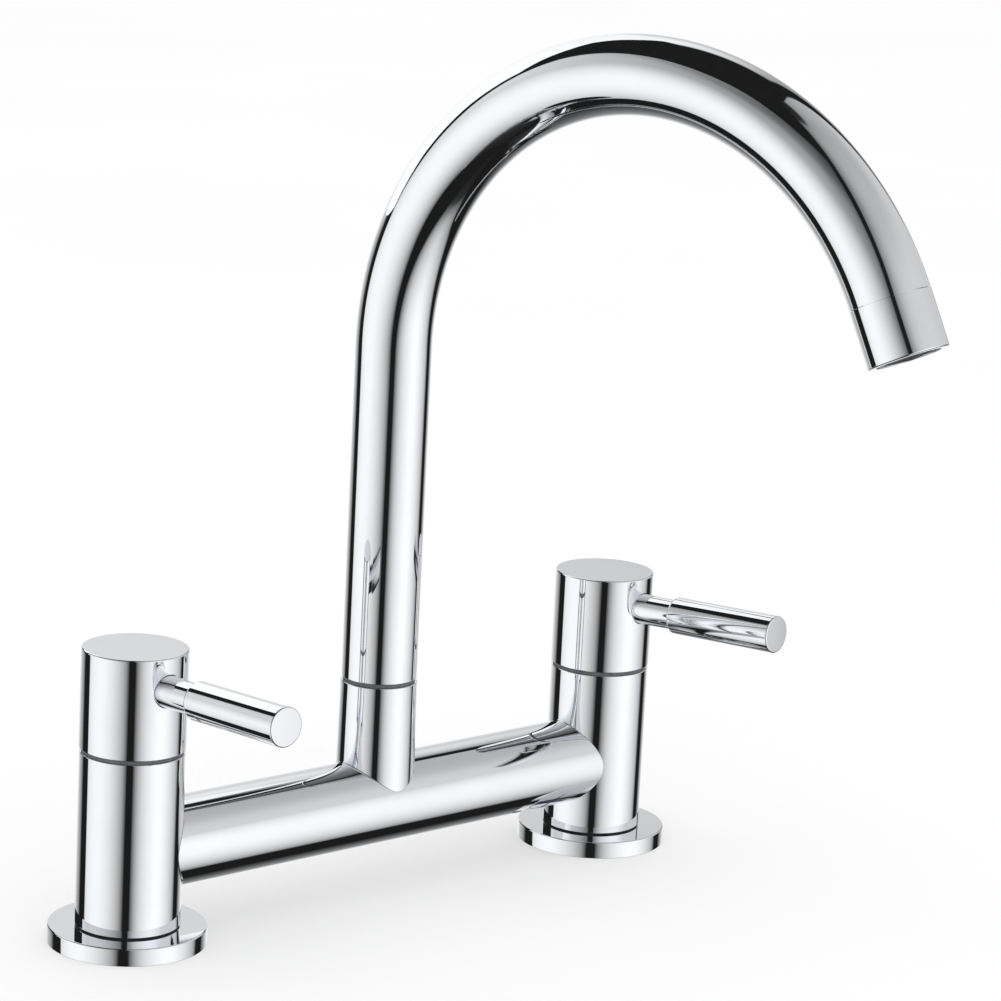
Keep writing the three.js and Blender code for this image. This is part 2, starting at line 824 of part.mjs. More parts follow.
function addSpout(group) {
  const swung = new THREE.Group();
  swung.rotation.z = THREE.MathUtils.degToRad(spoutSwingAngle);
  group.add(swung);
  add(swung, 'spout_spigot', spoutSpigot(), brass);
  spigotRingDrops.forEach((drop, i) => {
    const geometry = sealingRing(socketBore - ringSquash, ringSection, socketTop - drop, innerSides);
    add(swung, `spout_ring_${i + 1}`, geometry, rubber);
  });
  add(swung, 'spout_tube', spoutTube(), chrome);

  const nozzle = new THREE.Group();
  nozzle.position.copy(new SpoutLine().getPoint(1));
  nozzle.rotation.x = THREE.MathUtils.degToRad(bendAngle - 180);
  swung.add(nozzle);
  add(nozzle, 'nozzle_sleeve', nozzleSleeve(), chrome);
  add(nozzle, 'aerator_seal', aeratorSeal(), rubber);
  add(nozzle, 'aerator_body', aeratorBody(), nylon);
  add(nozzle, 'aerator_screen', aeratorScreen(), steel);
}

for (const [side, sign, leverAngle] of [['left', -1, leftLeverAngle], ['right', 1, rightLeverAngle]]) {
  const valve = new THREE.Group();
  valve.position.x = (sign * inletCentres) / 2;
  faucet.add(valve);
  addPillar(valve, side, -sign);
  addHandle(valve, side, leverAngle);
}
add(faucet, 'bridge_tube', bridgeTube(), chrome);
addSpoutSocket(faucet);
addSpout(faucet);

export default faucet;
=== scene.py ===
from math import cos, hypot, pi, radians, sin, sqrt, tau

import bmesh
import bpy
from mathutils import Matrix, Vector


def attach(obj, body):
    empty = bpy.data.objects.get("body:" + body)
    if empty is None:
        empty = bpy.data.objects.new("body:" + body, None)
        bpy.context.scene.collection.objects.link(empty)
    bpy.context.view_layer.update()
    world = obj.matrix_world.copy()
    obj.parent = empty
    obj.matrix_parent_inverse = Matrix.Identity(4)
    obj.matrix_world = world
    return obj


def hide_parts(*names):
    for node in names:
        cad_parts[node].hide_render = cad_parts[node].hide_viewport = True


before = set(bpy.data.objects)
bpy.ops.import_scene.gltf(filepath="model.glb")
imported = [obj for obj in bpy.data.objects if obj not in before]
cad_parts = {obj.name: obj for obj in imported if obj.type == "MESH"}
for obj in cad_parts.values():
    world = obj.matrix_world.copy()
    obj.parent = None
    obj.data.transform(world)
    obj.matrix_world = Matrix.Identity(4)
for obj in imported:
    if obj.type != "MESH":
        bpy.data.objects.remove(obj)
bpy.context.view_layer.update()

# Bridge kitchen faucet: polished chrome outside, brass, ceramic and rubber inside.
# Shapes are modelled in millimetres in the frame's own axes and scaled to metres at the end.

MM = 0.001

# ------------------------------------------------------------------ sizes

# In millimetres and degrees, as in the solids. Only drawn here are the roundings of edges, the
# threads, the hexagon sockets, the aerator's holes, the nozzle's seam and the dark foot rings,
# which are painted shadow: a dark ring stands for the shadow line where each pillar meets its
# flange.

INLET_CENTRES = 203.2
FLANGE_RADIUS = 26
FLANGE_TOP = 5.8
FLANGE_PLAY = 0.3
FOOT_RADIUS = 13.5
GASKET_INNER = 17
GASKET_OUTER = 21.5
GASKET_HEIGHT = 1.6
GASKET_LIFT = 0.02

PILLAR_RADIUS = 17.1
PILLAR_FOOT = 1
PILLAR_TOP = 63.9
# A dark rubber ring in a step at the pillar's foot: painted shadow, the line where the pillar meets
# its flange.
FOOT_SHADOW_DEPTH = 0.9
FOOT_SHADOW_HEIGHT = 0.55
FOOT_SHADOW_INSET = 0.2
FOOT_SHADOW_PLAY = 0.01
INLET_RADIUS = 9.5
INLET_TOP = 16
THREAD_RELIEF = 0.6
THREAD_DEPTH = 0.9
THREAD_PITCH = 1.81
WATERWAY_RADIUS = 5.5
VALVE_SEAT = 24
COLLAR_SEAT = 57
COLLAR_BORE = 14.8
VALVE_BORE = 12.5

BRIDGE_RADIUS = 14.7
BRIDGE_WALL = 2
BRIDGE_HEIGHT = 30.6
COPE_ROUNDING = 0.4

GLIDE_RING = 1.2
RUNNING_PLAY = 0.15
SEAM_INSET = 0.6
CAP_SEAM_BORE = 13.4

CAP_RADIUS = 17.3
CAP_BOTTOM = PILLAR_TOP + GLIDE_RING + RUNNING_PLAY
CAP_TOP = CAP_BOTTOM + 33
CAP_BORE = 15.1
CAP_CEILING = CAP_TOP - 5
BOSS_RADIUS = 10
BOSS_BOTTOM = 76.05
INSERT_BORE = 5.5
INSERT_TOP = 88.05

LEVER_HEIGHT = CAP_TOP - 11.4
LEVER_RISE = 2
LEVER_TURN = {"left": 3, "right": 11}
LEVER_REACH = 73.7
LEVER_TAIL = BOSS_RADIUS - 4.2
LEVER_SHOULDER = BOSS_RADIUS + 0.3
LEVER_PLAY = 0.3
LEVER_WAY = 20
NECK_RADIUS = 5.25
NECK_END = 31.5
GRIP_RADIUS = 6.45
TAIL_RADIUS = 3.7

GRUB_HEIGHT = CAP_TOP - 18
GRUB_RADIUS = 2.2
GRUB_LENGTH = 6
GRUB_POINT = 0.5
GRUB_PITCH = 0.35
GRUB_THREAD = 0.3
GRUB_ACCESS = 2.9
GRUB_WAY = 10
HEXAGON_RADIUS = 1.3
HEXAGON_DEPTH = 2

SOCKET_TOP = 73
SOCKET_TOP_RADIUS = 12.95
SOCKET_BASE_RADIUS = 13.5
SPIGOT_BORE = 10.3
SOCKET_SCREW = SOCKET_TOP - 16.5
SOCKET_SCREW_START = 8.3
SOCKET_SCREW_LENGTH = 4.6
SOCKET_SCREW_PLAY = 0.3
SOCKET_SCREW_WAY = 14

SPOUT_RADIUS = 12.75
SPOUT_WALL = 1.6
SPOUT_BOTTOM = SOCKET_TOP + GLIDE_RING + RUNNING_PLAY
RISER_TOP = SPOUT_BOTTOM + 112.4
BEND_RADIUS = 100.7
BEND_ANGLE = 154.1
BEND_STEPS = 150
SPOUT_TURN = 10.3

NOZZLE_RADIUS = 12.85
NOZZLE_TOP = -0.15
NOZZLE_END = -18.5
NOZZLE_BORE = 10.2
NOZZLE_NECK_RADIUS = 10.6
NOZZLE_NECK_BORE = 8.4
NOZZLE_NECK_TOP = NOZZLE_TOP + 4.85
AERATOR_RADIUS = 9.9
AERATOR_BOTTOM = NOZZLE_END + 1.2
AERATOR_TOP = AERATOR_BOTTOM + 8
AERATOR_CEILING = AERATOR_TOP + 1.5
AERATOR_MOUTH = 7.5
AERATOR_BORE = 8.5
PLATE_RADIUS = 8.2
PLATE_BOTTOM = AERATOR_BOTTOM + 1
PLATE_MIDDLE = AERATOR_BOTTOM + 1.4
PLATE_TOP = AERATOR_BOTTOM + 1.8
HOLE_RADIUS = 0.48
HOLE_LENGTH = 3
HOLE_SIDES = 12
HOLE_SPACING = 1.35
HOLE_FIELD = 6.9

# How finely the meshes are made, and how near to a place counts as being there.

ROUND_SIDES = 144
CUTTER_SIDES = 48
EDGE_STEPS = 3
SMOOTH_OVER = 32
NEAR = 1e-3
WALL_SLACK = 0.05
WALL_TILT = 0.2
FLAT_END = 0.999
DOUBLES = 0.002 * MM

# ------------------------------------------------------------------ finishes


def sockets(node, **values):
    for name, value in values.items():
        node.inputs[name.replace("_", " ")].default_value = value


def grain_group():
    """Cloudy noise between two levels, and the same noise as a height.

    Stretch squeezes it along Z.
    """
    group = bpy.data.node_groups.new("polish_grain", "ShaderNodeTree")
    face = group.interface
    face.new_socket("Vector", in_out="INPUT", socket_type="NodeSocketVector")
    settings = {"Scale": 100.0, "Detail": 3.0, "Low": 0.0, "High": 1.0, "Stretch": 1.0}
    for name, value in settings.items():
        face.new_socket(name, in_out="INPUT", socket_type="NodeSocketFloat").default_value = value
    for name in ("Level", "Height"):
        face.new_socket(name, in_out="OUTPUT", socket_type="NodeSocketFloat")
    nodes, links = group.nodes, group.links
    start = nodes.new("NodeGroupInput")
    end = nodes.new("NodeGroupOutput")
    combine = nodes.new("ShaderNodeCombineXYZ")
    sockets(combine, X=1.0, Y=1.0)
    links.new(start.outputs["Stretch"], combine.inputs["Z"])
    stretched = nodes.new("ShaderNodeVectorMath")
    stretched.operation = "MULTIPLY"
    links.new(start.outputs["Vector"], stretched.inputs[0])
    links.new(combine.outputs[0], stretched.inputs[1])
    noise = nodes.new("ShaderNodeTexNoise")
    sockets(noise, Roughness=0.55)
    links.new(stretched.outputs[0], noise.inputs["Vector"])
    links.new(start.outputs["Scale"], noise.inputs["Scale"])
    links.new(start.outputs["Detail"], noise.inputs["Detail"])
    spread = nodes.new("ShaderNodeMapRange")
    spread.interpolation_type = "SMOOTHSTEP"
    sockets(spread, From_Min=0.3, From_Max=0.7)
    links.new(noise.outputs["Fac"], spread.inputs["Value"])
    links.new(start.outputs["Low"], spread.inputs["To Min"])
    links.new(start.outputs["High"], spread.inputs["To Max"])
    links.new(spread.outputs["Result"], end.inputs["Level"])
    links.new(noise.outputs["Fac"], end.inputs["Height"])
    return group


GRAIN = grain_group()


class Finish:
    """One material: a Principled shader and the grain groups that vary it."""

    def __init__(self, name, **shader):
        self.material = bpy.data.materials.new(name)
        self.material.use_nodes = True
        self.nodes = self.material.node_tree.nodes
        self.links = self.material.node_tree.links
        self.shader = self.nodes["Principled BSDF"]
        sockets(self.shader, **shader)
        self.place = self.nodes.new("ShaderNodeTexCoord").outputs["Object"]

    def grain(self, scale, low=0.0, high=1.0, detail=3.0, stretch=1.0):
        node = self.nodes.new("ShaderNodeGroup")
        node.node_tree = GRAIN
        sockets(node, Scale=scale, Low=low, High=high, Detail=detail, Stretch=stretch)
        self.links.new(self.place, node.inputs["Vector"])
        return node.outputs

    def colours(self, level, first, second):
        mix = self.nodes.new("ShaderNodeMix")
        mix.data_type = "RGBA"
        self.links.new(level, mix.inputs[0])
        mix.inputs[6].default_value = (*first, 1)
        mix.inputs[7].default_value = (*second, 1)
        self.links.new(mix.outputs[2], self.shader.inputs["Base Color"])

    def roughness(self, level):
        self.links.new(level, self.shader.inputs["Roughness"])

    def bump(self, height, depth):
        node = self.nodes.new("ShaderNodeBump")
        sockets(node, Strength=1.0, Distance=depth)
        self.links.new(height, node.inputs["Height"])
        self.links.new(node.outputs["Normal"], self.shader.inputs["Normal"])


def chrome_finish():
    """Bright plated chrome: a mirror with the faint haze and slow swell that buffing leaves."""
    finish = Finish("polished_chrome", Metallic=1.0)
    finish.colours(finish.grain(55, detail=4)["Level"], (0.905, 0.925, 0.955), (0.93, 0.945, 0.97))
    finish.roughness(finish.grain(420, 0.012, 0.045, detail=5, stretch=0.35)["Level"])
    finish.bump(finish.grain(38, detail=1)["Height"], 0.00002)
    return finish.material


def brass_finish():
    finish = Finish("machined_brass", Metallic=1.0)
    finish.colours(finish.grain(160, detail=5)["Level"], (0.70, 0.50, 0.22), (0.80, 0.60, 0.30))
    finish.roughness(finish.grain(900, 0.2, 0.38, stretch=6)["Level"])
    finish.bump(finish.grain(1400, stretch=8)["Height"], 0.00004)
    return finish.material


def steel_finish():
    finish = Finish("stainless_steel", Metallic=1.0)
    finish.colours(finish.grain(300, detail=4)["Level"], (0.52, 0.52, 0.53), (0.63, 0.63, 0.64))
    finish.roughness(finish.grain(1200, 0.22, 0.4)["Level"])
    finish.bump(finish.grain(2200, detail=5)["Height"], 0.00003)
    return finish.material


def ceramic_finish():
    finish = Finish("valve_ceramic", Specular_IOR_Level=0.6)
    finish.colours(finish.grain(240, detail=4)["Level"], (0.84, 0.83, 0.80), (0.90, 0.89, 0.87))
    finish.roughness(finish.grain(800, 0.18, 0.3)["Level"])
    finish.bump(finish.grain(1800, detail=4)["Height"], 0.00002)
    return finish.material


def rubber_finish():
    finish = Finish("seal_rubber", Specular_IOR_Level=0.35)
    finish.colours(finish.grain(500, detail=6)["Level"], (0.012, 0.012, 0.013), (0.028, 0.028, 0.03))
    finish.roughness(finish.grain(700, 0.6, 0.85)["Level"])
    finish.bump(finish.grain(1600, detail=6)["Height"], 0.00008)
    return finish.material


def nylon_finish():
    finish = Finish("grey_nylon")
    finish.colours(finish.grain(420, detail=5)["Level"], (0.13, 0.13, 0.135), (0.18, 0.18, 0.185))
    finish.roughness(finish.grain(900, 0.32, 0.5)["Level"])
    finish.bump(finish.grain(2000, detail=4)["Height"], 0.00003)
    return finish.material


CHROME = chrome_finish()
BRASS = brass_finish()
STEEL = steel_finish()
CERAMIC = ceramic_finish()
RUBBER = rubber_finish()
NYLON = nylon_finish()

# ------------------------------------------------------------------ shaping


def turned(outline, sides=ROUND_SIDES):
    """A solid turned round Z from points (radius, height) or (radius, height, edge rounding).

    An outline that starts and ends on the axis stays open there, and any other is closed.
    """
    bm = bmesh.new()
    points = [bm.verts.new((point[0], 0, point[1])) for point in outline]
    for a, b in zip(points, points[1:]):
        bm.edges.new((a, b))
    if outline[0][0] > 0 or outline[-1][0] > 0:
        bm.edges.new((points[-1], points[0]))
    bmesh.ops.spin(
        bm, geom=bm.verts[:] + bm.edges[:], axis=(0, 0, 1), angle=tau, steps=sides, use_merge=True,
    )
    bmesh.ops.remove_doubles(bm, verts=bm.verts, dist=NEAR / 10)
    bmesh.ops.recalc_face_normals(bm, faces=bm.faces)
    for radius, height, rounding in (point for point in outline if len(point) == 3):
        soften(bm, radius, height, rounding)
    return bm


def soften(bm, radius, height, rounding):
    """Rounds the circular edge at that radius and height."""
    def on_circle(vert):
        off_radius = abs(hypot(vert.co.x, vert.co.y) - radius)
        return off_radius < NEAR and abs(vert.co.z - height) < NEAR

    edges = [edge for edge in bm.edges if all(on_circle(vert) for vert in edge.verts)]
    bevel(bm, edges, rounding)


def bevel(bm, edges, rounding):
    bmesh.ops.bevel(
        bm, geom=edges, offset=rounding, offset_type="OFFSET", segments=EDGE_STEPS,
        profile=0.5, affect="EDGES", material=-1, clamp_overlap=True,
    )


def rod(radius, length, place, sides=CUTTER_SIDES):
    """A plain cutter along Z, centred on its length, then placed."""
    bm = bmesh.new()
    bmesh.ops.create_cone(
        bm, cap_ends=True, segments=sides, radius1=radius, radius2=radius, depth=length,
        matrix=place,
    )
    return bm


def finished(name, bm, material):
    """Makes an object of the mesh: metres, shaded smooth over all but sharp edges."""
    bmesh.ops.scale(bm, vec=(MM, MM, MM), verts=bm.verts)
    mesh = bpy.data.meshes.new(name)
    bm.to_mesh(mesh)
    bm.free()
    mesh.shade_smooth()
    mesh.set_sharp_from_angle(angle=radians(SMOOTH_OVER))
    mesh.materials.append(material)
    piece = bpy.data.objects.new(name, mesh)
    bpy.context.scene.collection.objects.link(piece)
    return piece


def even_normals(piece):
    """Keeps large faces true next to their rounded edges, so that reflections stay straight."""
    weighted = piece.modifiers.new("even_normals", "WEIGHTED_NORMAL")
    weighted.mode = "FACE_AREA"
    weighted.weight = 50
    weighted.keep_sharp = True


def drill(piece, *cutters):
    """Takes the cutters out of the piece and merges the double points that this leaves."""
    for bm in cutters:
        tool = finished("cutter", bm, CHROME)
        hole = piece.modifiers.new("hole", "BOOLEAN")
        hole.operation = "DIFFERENCE"
        hole.solver = "EXACT"
        hole.object = tool
        drilled = piece.evaluated_get(bpy.context.evaluated_depsgraph_get())
        settled = bpy.data.meshes.new_from_object(drilled)
        piece.modifiers.remove(hole)
        piece.data = settled
        bpy.data.objects.remove(tool)
    mended = bmesh.new()
    mended.from_mesh(piece.data)
    bmesh.ops.remove_doubles(mended, verts=mended.verts, dist=DOUBLES)
    bmesh.ops.dissolve_degenerate(mended, edges=mended.edges, dist=DOUBLES)
    mended.to_mesh(piece.data)
    mended.free()


def true_round(piece, radius_at):
    """Gives the round outer wall and the flat ends exact normals, however holes cut them."""
    mesh = piece.data
    normals = [Vector(corner.vector) for corner in mesh.corner_normals]
    for face in mesh.polygons:
        if abs(face.normal.z) > FLAT_END:
            for index in face.loop_indices:
                normals[index] = face.normal.copy()
        if abs(face.normal.z) > WALL_TILT:
            continue
        centre = face.center / MM
        outwards = Vector((centre.x, centre.y, 0))
        if abs(outwards.length - radius_at(centre.z)) > WALL_SLACK:
            continue
        for index in face.loop_indices:
            place = mesh.vertices[mesh.loops[index].vertex_index].co / MM
            normals[index] = Vector((place.x, place.y, 0)).normalized()
    mesh.normals_split_custom_set(normals)


def dress(piece, body, slot, *nodes):
    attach(piece, body)
    if nodes:
        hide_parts(*nodes)
    return piece


def thread(radius, depth, bottom, top, pitch):
    """Outline points of a thread's ridges up a bore, from its mouth."""
    turns = int((top - bottom) / pitch)
    points = []
    for turn in range(turns):
        points.append((radius, bottom + turn * pitch))
        points.append((radius - depth, bottom + (turn + 0.5) * pitch))
    points.append((radius, bottom + turns * pitch))
    return points


# ------------------------------------------------------------------ flanges, pillars and rings


def flange(name, node, place):
    bm = turned([
        (FOOT_RADIUS + FLANGE_PLAY, 0),
        (GASKET_INNER - FLANGE_PLAY, 0),
        (GASKET_INNER - FLANGE_PLAY, GASKET_HEIGHT),
        (GASKET_OUTER + FLANGE_PLAY, GASKET_HEIGHT),
        (GASKET_OUTER + FLANGE_PLAY, 0),
        (FLANGE_RADIUS, 0, 0.15),
        (FLANGE_RADIUS, FLANGE_TOP, 0.45),
        (FOOT_RADIUS + FLANGE_PLAY, FLANGE_TOP),
    ])
    bm.transform(place)
    piece = finished(name, bm, CHROME)
    even_normals(piece)
    return dress(piece, "valve_body", "chrome", node)


def flange_gasket(name, node, place):
    bm = turned([
        (GASKET_INNER, GASKET_LIFT, 0.3),
        (GASKET_OUTER, GASKET_LIFT, 0.3),
        (GASKET_OUTER, GASKET_HEIGHT),
        (GASKET_INNER, GASKET_HEIGHT),
    ])
    bm.transform(place)
    return dress(finished(name, bm, RUBBER), "valve_body", "rubber", node)


def pillar(name, node, place):
    """The valve pillar, with its threaded inlet below and the valve's seats above."""
    ridges = thread(
        INLET_RADIUS + THREAD_RELIEF, THREAD_DEPTH, PILLAR_FOOT, INLET_TOP, THREAD_PITCH,
    )
    bm = turned([
        (FOOT_RADIUS, PILLAR_FOOT, 0.2),
        (FOOT_RADIUS, FLANGE_TOP),
        # The step at the foot holds the dark ring that paints the shadow line on the flange.
        (PILLAR_RADIUS - FOOT_SHADOW_DEPTH, FLANGE_TOP),
        (PILLAR_RADIUS - FOOT_SHADOW_DEPTH, FLANGE_TOP + FOOT_SHADOW_HEIGHT),
        (PILLAR_RADIUS, FLANGE_TOP + FOOT_SHADOW_HEIGHT, 0.12),
        (PILLAR_RADIUS, PILLAR_TOP, 0.25),
        (COLLAR_BORE, PILLAR_TOP, 0.2),
        (COLLAR_BORE, COLLAR_SEAT),
        (VALVE_BORE, COLLAR_SEAT),
        (VALVE_BORE, VALVE_SEAT),
        (WATERWAY_RADIUS, VALVE_SEAT),
        (WATERWAY_RADIUS, INLET_TOP),
        *reversed(ridges),
    ])
    bm.transform(place)
    piece = finished(name, bm, CHROME)
    even_normals(piece)
    return dress(piece, "valve_body", "chrome", node)


def foot_shadow_ring(name, place):
    """Painted shadow: a thin dark rubber ring for the shadow line where the pillar meets its flange.
    """
    inner, outer = PILLAR_RADIUS - FOOT_SHADOW_DEPTH, PILLAR_RADIUS - FOOT_SHADOW_INSET
    bottom = FLANGE_TOP + FOOT_SHADOW_PLAY
    top = FLANGE_TOP + FOOT_SHADOW_HEIGHT - FOOT_SHADOW_PLAY
    bm = turned([(inner, bottom), (outer, bottom, 0.1), (outer, top, 0.1), (inner, top)])
    bm.transform(place)
    return dress(finished(name, bm, RUBBER), "valve_body", "rubber")


def seam_ring(name, node, place, inner, outer, bottom):
    """A grey glide ring, seen as the seam between a fixed piece and the turning one above it."""
    top = bottom + GLIDE_RING
    bm = turned([(inner, bottom), (outer, bottom, 0.1), (outer, top, 0.1), (inner, top)])
    bm.transform(place)
    return dress(finished(name, bm, NYLON), "valve_body", "nylon", node)


# ------------------------------------------------------------------ bridge and spout socket


def bridge_tube():
    """A tube along X whose two ends are coped to the round pillars."""
    bm = bmesh.new()
    along = Matrix.Translation((0, 0, BRIDGE_HEIGHT)) @ Matrix.Rotation(pi / 2, 4, "Y")
    for radius in (BRIDGE_RADIUS, BRIDGE_RADIUS - BRIDGE_WALL):
        circle = bmesh.ops.create_circle(bm, segments=ROUND_SIDES, radius=radius, matrix=along)
        ring = circle["verts"]
        edges = list({edge for vert in ring for edge in vert.link_edges})
        cope(bmesh.ops.extrude_edge_only(bm, edges=edges)["geom"], 1)
        cope(ring, -1)
    ends = [edge for edge in bm.edges if len(edge.link_faces) == 1]
    for side in (-1, 1):
        bmesh.ops.bridge_loops(bm, edges=[edge for edge in ends if edge.verts[0].co.x * side > 0])
    bmesh.ops.recalc_face_normals(bm, faces=bm.faces)
    rims = [
        edge for edge in bm.edges
        if all(on_bridge(vert) for vert in edge.verts)
        and edge.verts[0].co.x * edge.verts[1].co.x > 0
    ]
    bevel(bm, rims, COPE_ROUNDING)
    piece = finished("bridge_pipe", bm, CHROME)
    even_normals(piece)
    return dress(piece, "valve_body", "chrome", "bridge_tube")


def on_bridge(vert):
    """Whether a point lies on the round outer wall of the bridge tube."""
    return abs(hypot(vert.co.y, vert.co.z - BRIDGE_HEIGHT) - BRIDGE_RADIUS) < NEAR


def cope(geometry, side):
    """Slides points along the bridge until they lie on the pillar on that side."""
    for vert in geometry:
        if isinstance(vert, bmesh.types.BMVert):
            vert.co.x = side * (INLET_CENTRES / 2 - sqrt(PILLAR_RADIUS ** 2 - vert.co.y ** 2))


def socket_radius(height):
    share = (height - BRIDGE_HEIGHT) / (SOCKET_TOP - BRIDGE_HEIGHT)
    return SOCKET_BASE_RADIUS + (SOCKET_TOP_RADIUS - SOCKET_BASE_RADIUS) * share


def spout_socket():
    """The stub under the spout, coped to the bridge in a V at the front and back."""
    bm = turned([
        (SPIGOT_BORE, BRIDGE_HEIGHT),
        (SOCKET_BASE_RADIUS, BRIDGE_HEIGHT),
        (SOCKET_TOP_RADIUS, SOCKET_TOP, 0.25),
        (SPIGOT_BORE, SOCKET_TOP),
    ])
    for vert in bm.verts:
        if abs(vert.co.z - BRIDGE_HEIGHT) < NEAR:
            saddle(vert)
    rims = [
        edge for edge in bm.edges
        if all(on_bridge(vert) and on_socket_outside(vert) for vert in edge.verts)
    ]
    bevel(bm, rims, COPE_ROUNDING)
    piece = finished("spout_socket_stub", bm, CHROME)
    at_back = Matrix.Translation((0, SOCKET_BASE_RADIUS, SOCKET_SCREW))
    screw_way = at_back @ Matrix.Rotation(pi / 2, 4, "X")
    drill(piece, rod(GRUB_RADIUS + SOCKET_SCREW_PLAY, SOCKET_SCREW_WAY, screw_way))
    true_round(piece, socket_radius)
    return dress(piece, "valve_body", "chrome", "spout_socket")


def on_socket_outside(vert):
    """Whether a point of the socket lies outside and not in its bore."""
    return hypot(vert.co.x, vert.co.y) > SPIGOT_BORE + 1


def saddle(vert):
    """Lifts a point of the socket's lower edge straight up its wall onto the bridge."""
    outer = on_socket_outside(vert)
    direction = Vector((vert.co.x, vert.co.y, 0)).normalized()
    height = BRIDGE_HEIGHT
    for _ in range(4):
        radius = socket_radius(height) if outer else SPIGOT_BORE
        height = BRIDGE_HEIGHT + sqrt(BRIDGE_RADIUS ** 2 - (radius * direction.y) ** 2)
    vert.co = direction * radius + Vector((0, 0, height))


# ------------------------------------------------------------------ handles


def handle_cap(name, side, place):
    """The hollow cap, with the hole for its lever and the way to the grub screw at the back."""
    bm = turned([
        (0, CAP_TOP),
        (CAP_RADIUS, CAP_TOP, 0.5),
        (CAP_RADIUS, CAP_BOTTOM, 0.25),
        (CAP_BORE, CAP_BOTTOM, 0.2),
        (CAP_BORE, CAP_CEILING),
        (BOSS_RADIUS, CAP_CEILING),
        (BOSS_RADIUS, BOSS_BOTTOM),
        (INSERT_BORE, BOSS_BOTTOM),
        (INSERT_BORE, INSERT_TOP),
        (0, INSERT_TOP),
    ])
    piece = finished(name, bm, CHROME)
    lever_way = lever_place() @ Matrix.Translation((0, 0, LEVER_SHOULDER + LEVER_WAY / 2))
    at_back = Matrix.Translation((0, BOSS_RADIUS + GRUB_WAY / 2, GRUB_HEIGHT))
    grub_way = at_back @ Matrix.Rotation(pi / 2, 4, "X")
    drill(
        piece,
        rod(NECK_RADIUS + LEVER_PLAY, LEVER_WAY, lever_way),
        rod(GRUB_ACCESS, GRUB_WAY, grub_way),
    )
    true_round(piece, lambda height: CAP_RADIUS)
    piece.data.transform(scaled(place))
    return dress(piece, side + "_handle", "chrome", side + "_handle_cap")


def lever_place():
    """From the lever's own axis, along Z, to the cap's: out to the user and slightly up."""
    outwards = Matrix.Rotation(radians(90 - LEVER_RISE), 4, "X")
    return Matrix.Translation((0, 0, LEVER_HEIGHT)) @ outwards


def scaled(place):
    """The same placing for a mesh that is in metres already."""
    moved = place.copy()
    moved.translation = place.translation * MM
    return moved


def lever(name, side, place):
    """The lever: a tail in the cap's boss, a thinner neck and a thicker grip."""
    bm = turned([
        (0, LEVER_TAIL),
        (TAIL_RADIUS, LEVER_TAIL, 0.4),
        (TAIL_RADIUS, LEVER_SHOULDER),
        (NECK_RADIUS, LEVER_SHOULDER),
        (NECK_RADIUS, NECK_END),
        (GRIP_RADIUS, NECK_END, 1.0),
        (GRIP_RADIUS, LEVER_REACH, 0.55),
        (0, LEVER_REACH),
    ])
    bm.transform(place @ lever_place())
    piece = finished(name, bm, CHROME)
    even_normals(piece)
    return dress(piece, side + "_handle", "chrome", side + "_lever")


def grub_screw(length):
    """A headless screw along Z with a cup point below, still without its hexagon socket."""
    ridges = [
        (GRUB_RADIUS - (GRUB_THREAD if step % 2 else 0), GRUB_POINT + step * GRUB_PITCH)
        for step in range(int((length - 2 * GRUB_POINT) / GRUB_PITCH))
    ]
    return turned([
        (0, GRUB_POINT),
        (GRUB_RADIUS * 0.5, 0),
        (GRUB_RADIUS * 0.75, 0),
        *ridges,
        (GRUB_RADIUS * 0.8, length),
        (0, length),
    ], sides=CUTTER_SIDES)


def screw(name, node, body, place, length):
    """A grub screw with its hexagon socket."""
    piece = finished(name, grub_screw(length), STEEL)
    at_top = Matrix.Translation((0, 0, length))
    drill(piece, rod(HEXAGON_RADIUS, 2 * HEXAGON_DEPTH, at_top, sides=6))
    piece.data.transform(scaled(place))
    return dress(piece, body, "steel", node)


# ------------------------------------------------------------------ spout


def spout_pipe():
    """The gooseneck: rings drawn up the riser and spun round the bend, with a bore inside."""
    bm = bmesh.new()
    centre = Vector((0, -BEND_RADIUS, RISER_TOP))
    low = Matrix.Translation((0, 0, SPOUT_BOTTOM))
    for radius in (SPOUT_RADIUS, SPOUT_RADIUS - SPOUT_WALL):
        circle = bmesh.ops.create_circle(bm, segments=ROUND_SIDES, radius=radius, matrix=low)
        edges = list({edge for vert in circle["verts"] for edge in vert.link_edges})
        raised = bmesh.ops.extrude_edge_only(bm, edges=edges)["geom"]
        top = [item for item in raised if isinstance(item, bmesh.types.BMVert)]
        bmesh.ops.translate(bm, vec=(0, 0, RISER_TOP - SPOUT_BOTTOM), verts=top)
        rim = [item for item in raised if isinstance(item, bmesh.types.BMEdge)]
        bmesh.ops.spin(
            bm, geom=top + rim, cent=centre, axis=(1, 0, 0), angle=radians(BEND_ANGLE),
            steps=BEND_STEPS,
        )
    open_edges = [edge for edge in bm.edges if len(edge.link_faces) == 1]
    low_edges = [
        edge for edge in open_edges
        if abs(edge.verts[0].co.z - SPOUT_BOTTOM) < NEAR
        and abs(edge.verts[0].co.y) < SPOUT_RADIUS + 1
    ]
    bmesh.ops.bridge_loops(bm, edges=low_edges)
    bmesh.ops.bridge_loops(bm, edges=[edge for edge in open_edges if edge not in low_edges])
    bmesh.ops.recalc_face_normals(bm, faces=bm.faces)
    soften(bm, SPOUT_RADIUS, SPOUT_BOTTOM, 0.25)
    bm.transform(Matrix.Rotation(radians(SPOUT_TURN), 4, "Z"))
    piece = finished("gooseneck_pipe", bm, CHROME)
    even_normals(piece)
    return dress(piece, "spout", "chrome", "spout_tube")


